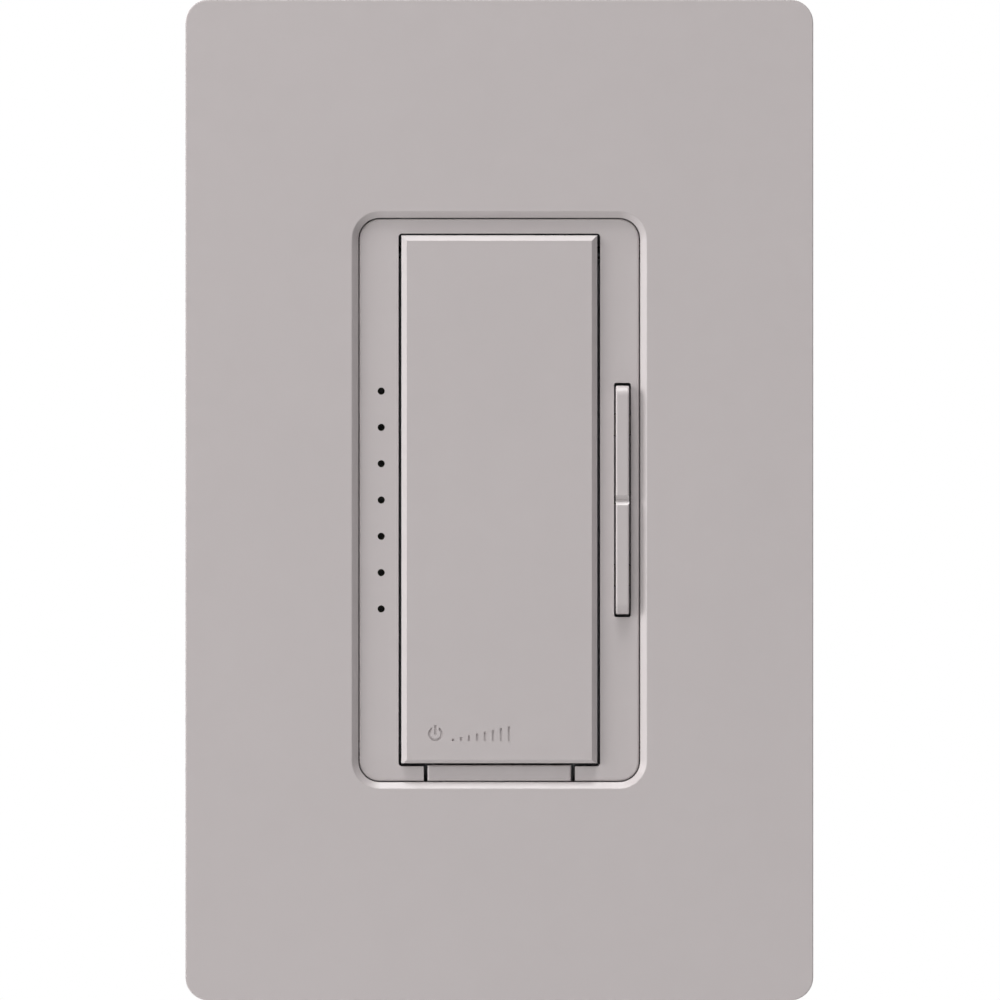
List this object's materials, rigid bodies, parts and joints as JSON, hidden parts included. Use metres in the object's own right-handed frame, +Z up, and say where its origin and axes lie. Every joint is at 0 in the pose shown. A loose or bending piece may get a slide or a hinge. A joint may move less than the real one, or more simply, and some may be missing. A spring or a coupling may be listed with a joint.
{
  "type": "tap dimmer switch with wallplate",
  "caption": "Designer-style tap dimmer for one wall box: tap paddle, side raise/lower rocker, indicator pipe, pull-out service tab, screwless clip-on wallplate.",
  "frame": {"origin": "on the wall's surface, midway between the two box screws", "axes": "+X to the right and +Z up as seen from the room, +Y into the wall; the front faces -Y"},
  "size_m": [0.0746, 0.0351, 0.119],
  "materials": {
    "plate_plastic": "fine moulded satin",
    "control_plastic": "fine moulded satin",
    "adapter_plastic": "moulded, matt",
    "housing_plastic": "moulded thermoset, dark grey",
    "heat_sink_metal": "stamped, satin",
    "zinc_steel": "zinc plated",
    "pin_steel": "black oxide",
    "spring_steel": "drawn wire",
    "fibre": "pressed fibre",
    "fish_paper": "insulating sheet",
    "label_paper": "blank",
    "clear_plastic": "clear moulded",
    "board_laminate": "solder mask",
    "black_epoxy": "moulded epoxy",
    "led_white": "chip",
    "chip_ceramic": "chip parts",
    "plunger_plastic": "moulded",
    "ferrite": "sintered",
    "core_coating": "powder coated core",
    "copper": "enamelled wire",
    "capacitor_yellow": "boxed film",
    "capacitor_sleeve": "shrink sleeve",
    "varistor_blue": "dipped",
    "resistor_green": "coated",
    "fuse_body": "coated",
    "brass_strip": "stamped",
    "silver_contact": "contact alloy on bronze",
    "insulator_rubber": "thermal pad",
    "green_screw": "green dyed zinc"
  },
  "bodies": {
    "base": {"wallplate": "plate_plastic", "plate_adapter": "adapter_plastic", "adapter_screws": "zinc_steel", "box_screws": "zinc_steel", "screw_retainers": "fibre", "yoke": "heat_sink_metal", "bezel": "control_plastic", "paddle_hinge_pin": "pin_steel", "paddle_return_spring": "spring_steel", "rocker_pivot_pin": "pin_steel", "light_pipe": "clear_plastic", "service_contact_base": "brass_strip", "service_fixed_contact": "silver_contact", "control_board": "board_laminate", "tactile_switch_bodies": "black_epoxy", "indicator_leds": "led_white", "microcontroller": "black_epoxy", "chip_components": "chip_ceramic", "header_bases": "black_epoxy", "header_pins": "brass_strip", "power_board": "board_laminate", "triac": "black_epoxy", "triac_insulator_pad": "insulator_rubber", "triac_screw": "zinc_steel", "triac_nut": "zinc_steel", "choke_core": "core_coating", "choke_winding": "copper", "film_capacitor": "capacitor_yellow", "electrolytic_capacitor": "capacitor_sleeve", "varistor": "varistor_blue", "drum_inductor": "ferrite", "bridge_rectifier": "black_epoxy", "fuse": "fuse_body", "power_resistor": "resistor_green", "insulating_sheet": "fish_paper", "back_housing": "housing_plastic", "housing_screws": "zinc_steel", "line_terminal": "brass_strip", "load_terminal": "brass_strip", "remote_terminal": "brass_strip", "terminal_screws": "brass_strip", "terminal_clamps": "zinc_steel", "ground_screw": "green_screw", "blank_label": "label_paper"},
    "paddle": {"paddle": "control_plastic"},
    "tap_plunger": {"tap_switch_plunger": "plunger_plastic"},
    "rocker": {"dimming_rocker": "control_plastic"},
    "raise_plunger": {"raise_switch_plunger": "plunger_plastic"},
    "lower_plunger": {"lower_switch_plunger": "plunger_plastic"},
    "service_slider": {"service_switch_slider": "control_plastic"},
    "contact_leaf": {"service_contact_leaf": "silver_contact"}
  },
  "joints": [
    {"name": "paddle_tap", "type": "hinge", "parent": "base", "child": "paddle", "pos_m": [0, -0.0046, 0.0295], "axis": [1, 0, 0], "range_deg": [0, 1.1], "stiffness_Nm_per_rad": 2, "springref_deg": -1.15, "deforming": ["paddle_return_spring"]},
    {"name": "tap_plunger_press", "type": "slide", "parent": "base", "child": "tap_plunger", "axis": [0, 1, 0], "range_m": [0, 0.0005]},
    {"name": "rocker_tilt", "type": "hinge", "parent": "base", "child": "rocker", "pos_m": [0.01465, -0.0042, 0], "axis": [1, 0, 0], "range_deg": [-2.2, 2.2], "stiffness_Nm_per_rad": 0.35},
    {"name": "raise_plunger_press", "type": "slide", "parent": "base", "child": "raise_plunger", "axis": [0, 1, 0], "range_m": [-0.00035, 0.00035]},
    {"name": "lower_plunger_press", "type": "slide", "parent": "base", "child": "lower_plunger", "axis": [0, 1, 0], "range_m": [-0.00035, 0.00035]},
    {"name": "service_pull", "type": "slide", "parent": "base", "child": "service_slider", "axis": [0, -1, 0], "range_m": [0, 0.004]},
    {"name": "contact_leaf_open", "type": "hinge", "parent": "base", "child": "contact_leaf", "pos_m": [-0.009, 0.0097, -0.0315], "axis": [0, 0, -1], "range_deg": [0, 6]}
  ],
  "couplings": [
    {"joint": "tap_plunger_press", "follows": "paddle_tap", "m_per_rad": 0.026},
    {"joint": "raise_plunger_press", "follows": "rocker_tilt", "m_per_rad": -0.009},
    {"joint": "lower_plunger_press", "follows": "rocker_tilt", "m_per_rad": 0.009},
    {"joint": "contact_leaf_open", "follows": "service_pull", "rad_per_m": 26.1}
  ]
}
